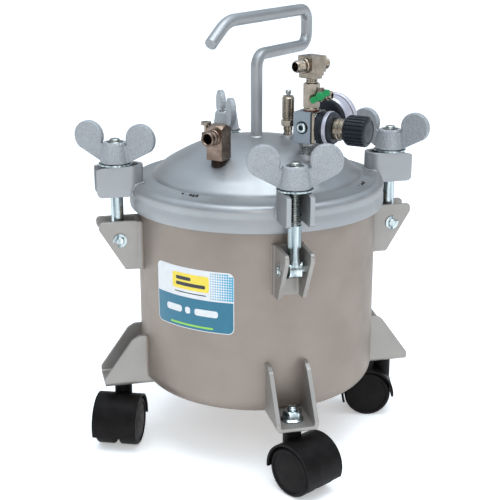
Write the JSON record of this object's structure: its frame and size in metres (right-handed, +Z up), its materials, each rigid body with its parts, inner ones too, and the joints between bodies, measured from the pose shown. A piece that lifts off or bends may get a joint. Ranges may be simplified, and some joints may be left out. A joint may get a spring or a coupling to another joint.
{
  "type": "resin pressure pot",
  "caption": "Round lidded pressure tank on swivel casters, closed by swing bolts with wing nuts, with a bent-rod handle, regulator, gauge and outlet fittings on the domed lid.",
  "frame": {"origin": "on the floor under the centre of the tank", "axes": "+Z up, -Y towards the front clamp, +X towards the right clamp"},
  "size_m": [0.3588, 0.39, 0.4414],
  "materials": {
    "tank_paint": "satin warm silver-grey sprayed paint",
    "lid_paint": "satin cool silver sprayed paint",
    "cast_metal": "rough sand-cast surface under silver paint",
    "zinc": "bright zinc plating",
    "nickel": "nickel-plated brass, machined",
    "black_plastic": "moulded black nylon",
    "green_plastic": "moulded green plastic",
    "rubber": "moulded black rubber",
    "label": "glossy printed film",
    "gauge_dial": "white printed dial",
    "gauge_lens": "clear flat lens"
  },
  "bodies": {
    "root": {"tank_body": "tank_paint", "clevis_front": "tank_paint", "clevis_right": "tank_paint", "clevis_back": "tank_paint", "clevis_left": "tank_paint", "foot_bracket_front": "tank_paint", "foot_bracket_right": "tank_paint", "foot_bracket_back": "tank_paint", "foot_bracket_left": "tank_paint", "pivot_pin_front": "zinc", "pivot_pin_right": "zinc", "pivot_pin_back": "zinc", "pivot_pin_left": "zinc", "caster_stem_front": "zinc", "caster_stem_right": "zinc", "caster_stem_back": "zinc", "caster_stem_left": "zinc"},
    "lid_assembly": {"lid": "lid_paint", "lid_gasket": "rubber", "lid_ear_front": "lid_paint", "lid_ear_right": "lid_paint", "lid_ear_back": "lid_paint", "lid_ear_left": "lid_paint", "lid_handle": "lid_paint", "outlet_block": "nickel", "fluid_tube": "zinc", "safety_valve": "nickel", "regulator_body": "nickel", "regulator_bonnet": "black_plastic", "bonnet_ring": "zinc", "regulator_neck": "nickel", "pressure_gauge": "zinc", "riser": "nickel", "inlet_tee": "nickel", "ball_valve": "nickel"},
    "knob": {"regulator_knob": "black_plastic"},
    "needle": {"gauge_needle": "black_plastic"},
    "lever": {"valve_lever": "green_plastic"},
    "bleed": {"bleed_screw": "nickel"},
    "pull": {"safety_pull": "nickel"},
    "bolt_front": {"swing_bolt_front": "zinc"},
    "washer_front": {"clamp_washer_front": "zinc"},
    "nut_front": {"wing_nut_front": "cast_metal"},
    "caster_front": {"caster_hood_front": "black_plastic"},
    "wheels_front": {"caster_wheels_front": "black_plastic"},
    "bolt_right": {"swing_bolt_right": "zinc"},
    "washer_right": {"clamp_washer_right": "zinc"},
    "nut_right": {"wing_nut_right": "cast_metal"},
    "caster_right": {"caster_hood_right": "black_plastic"},
    "wheels_right": {"caster_wheels_right": "black_plastic"},
    "bolt_back": {"swing_bolt_back": "zinc"},
    "washer_back": {"clamp_washer_back": "zinc"},
    "nut_back": {"wing_nut_back": "cast_metal"},
    "caster_back": {"caster_hood_back": "black_plastic"},
    "wheels_back": {"caster_wheels_back": "black_plastic"},
    "bolt_left": {"swing_bolt_left": "zinc"},
    "washer_left": {"clamp_washer_left": "zinc"},
    "nut_left": {"wing_nut_left": "cast_metal"},
    "caster_left": {"caster_hood_left": "black_plastic"},
    "wheels_left": {"caster_wheels_left": "black_plastic"}
  },
  "joints": [
    {"name": "lid_lift", "type": "slide", "parent": "root", "child": "lid_assembly", "axis": [0, 0, 1], "range_m": [0, 0.018]},
    {"name": "bolt_swing_front", "type": "hinge", "parent": "root", "child": "bolt_front", "pos_m": [0, -0.144, 0.2194], "axis": [1, 0, 0], "range_deg": [0, 135]},
    {"name": "nut_rise_front", "type": "slide", "parent": "bolt_front", "child": "washer_front", "axis": [0, 0, 1], "range_m": [0, 0.018]},
    {"name": "nut_turn_front", "type": "hinge", "parent": "washer_front", "child": "nut_front", "pos_m": [0, -0.144, 0.3], "axis": [0, 0, 1], "continuous": true},
    {"name": "caster_swivel_front", "type": "hinge", "parent": "root", "child": "caster_front", "pos_m": [0, -0.144, 0.06], "axis": [0, 0, 1], "continuous": true},
    {"name": "caster_roll_front", "type": "hinge", "parent": "caster_front", "child": "wheels_front", "pos_m": [0.0085, -0.15872, 0.025], "axis": [0.866, 0.5, 0], "continuous": true},
    {"name": "bolt_swing_right", "type": "hinge", "parent": "root", "child": "bolt_right", "pos_m": [0.144, 0, 0.2194], "axis": [0, 1, 0], "range_deg": [0, 135]},
    {"name": "nut_rise_right", "type": "slide", "parent": "bolt_right", "child": "washer_right", "axis": [0, 0, 1], "range_m": [0, 0.018]},
    {"name": "nut_turn_right", "type": "hinge", "parent": "washer_right", "child": "nut_right", "pos_m": [0.144, 0, 0.3], "axis": [0, 0, 1], "continuous": true},
    {"name": "caster_swivel_right", "type": "hinge", "parent": "root", "child": "caster_right", "pos_m": [0.144, 0, 0.06], "axis": [0, 0, 1], "continuous": true},
    {"name": "caster_roll_right", "type": "hinge", "parent": "caster_right", "child": "wheels_right", "pos_m": [0.12751, 0.00411, 0.025], "axis": [-0.2419, -0.9703, 0], "continuous": true},
    {"name": "bolt_swing_back", "type": "hinge", "parent": "root", "child": "bolt_back", "pos_m": [0, 0.144, 0.2194], "axis": [-1, 0, 0], "range_deg": [0, 135]},
    {"name": "nut_rise_back", "type": "slide", "parent": "bolt_back", "child": "washer_back", "axis": [0, 0, 1], "range_m": [0, 0.018]},
    {"name": "nut_turn_back", "type": "hinge", "parent": "washer_back", "child": "nut_back", "pos_m": [0, 0.144, 0.3], "axis": [0, 0, 1], "continuous": true},
    {"name": "caster_swivel_back", "type": "hinge", "parent": "root", "child": "caster_back", "pos_m": [0, 0.144, 0.06], "axis": [0, 0, 1], "continuous": true},
    {"name": "caster_roll_back", "type": "hinge", "parent": "caster_back", "child": "wheels_back", "pos_m": [0.0085, 0.15872, 0.025], "axis": [-0.866, 0.5, 0], "continuous": true},
    {"name": "bolt_swing_left", "type": "hinge", "parent": "root", "child": "bolt_left", "pos_m": [-0.144, 0, 0.2194], "axis": [0, -1, 0], "range_deg": [0, 135]},
    {"name": "nut_rise_left", "type": "slide", "parent": "bolt_left", "child": "washer_left", "axis": [0, 0, 1], "range_m": [0, 0.018]},
    {"name": "nut_turn_left", "type": "hinge", "parent": "washer_left", "child": "nut_left", "pos_m": [-0.144, 0, 0.3], "axis": [0, 0, 1], "continuous": true},
    {"name": "caster_swivel_left", "type": "hinge", "parent": "root", "child": "caster_left", "pos_m": [-0.144, 0, 0.06], "axis": [0, 0, 1], "continuous": true},
    {"name": "caster_roll_left", "type": "hinge", "parent": "caster_left", "child": "wheels_left", "pos_m": [-0.15037, -0.01576, 0.025], "axis": [0.9272, -0.3746, 0], "continuous": true},
    {"name": "knob_turn", "type": "hinge", "parent": "lid_assembly", "child": "knob", "pos_m": [0.07639, -0.09173, 0.335], "axis": [0.7314, -0.682, 0], "range_deg": [-720, 720]},
    {"name": "needle_turn", "type": "hinge", "parent": "lid_assembly", "child": "needle", "pos_m": [0.0785, -0.01029, 0.334], "axis": [-0.682, -0.7314, 0], "range_deg": [0, 270]},
    {"name": "valve_turn", "type": "hinge", "parent": "lid_assembly", "child": "lever", "pos_m": [0.0439, -0.0751, 0.3666], "axis": [0.682, 0.7314, 0], "range_deg": [-45, 45]},
    {"name": "bleed_turn", "type": "hinge", "parent": "lid_assembly", "child": "bleed", "pos_m": [-0.06075, -0.04368, 0.338], "axis": [0, 0, 1], "range_deg": [0, 720]},
    {"name": "safety_pull", "type": "slide", "parent": "lid_assembly", "child": "pull", "axis": [0, 0, 1], "range_m": [0, 0.003], "stiffness_N_per_m": 300}
  ],
  "couplings": [
    {"joint": "nut_rise_front", "follows": "lid_lift", "ratio": 1},
    {"joint": "nut_rise_right", "follows": "lid_lift", "ratio": 1},
    {"joint": "nut_rise_back", "follows": "lid_lift", "ratio": 1},
    {"joint": "nut_rise_left", "follows": "lid_lift", "ratio": 1}
  ]
}
